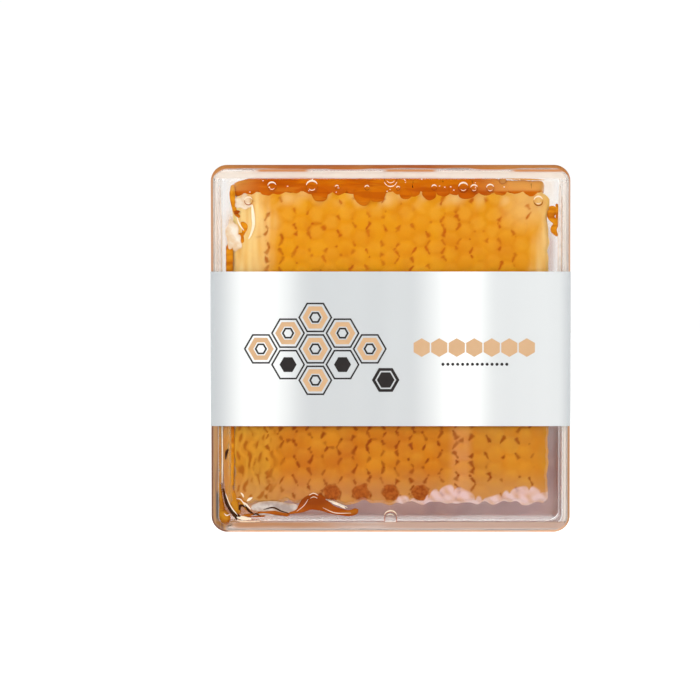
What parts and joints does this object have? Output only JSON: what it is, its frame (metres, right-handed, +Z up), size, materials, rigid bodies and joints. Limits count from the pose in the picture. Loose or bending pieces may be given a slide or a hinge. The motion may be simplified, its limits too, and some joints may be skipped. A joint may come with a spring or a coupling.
{
  "type": "boxed honeycomb piece",
  "caption": "Square piece of capped honeycomb in a flat clear plastic box with loose honey in the gaps, closed by a silver-white foil sleeve round its middle; stands on its edge.",
  "frame": {"origin": "centre of the box's resting edge, under the middle of its height, width and depth", "axes": "+Z up along the box's height, +X to the right seen from the front, lid and printed side face -Y"},
  "size_m": [0.1112, 0.0292, 0.1125],
  "materials": {
    "clear_plastic": "clear, polished, rigid",
    "honeycomb": "amber beeswax cappings over honey, wet in the grooves",
    "honey": "clear deep amber liquid",
    "foil_sleeve": "satin silver-white film"
  },
  "bodies": {
    "root": {"box_lid": "clear_plastic", "box_base": "clear_plastic", "comb": "honeycomb", "honey_top": "honey", "honey_low": "honey", "sleeve": "foil_sleeve"}
  },
  "joints": []
}
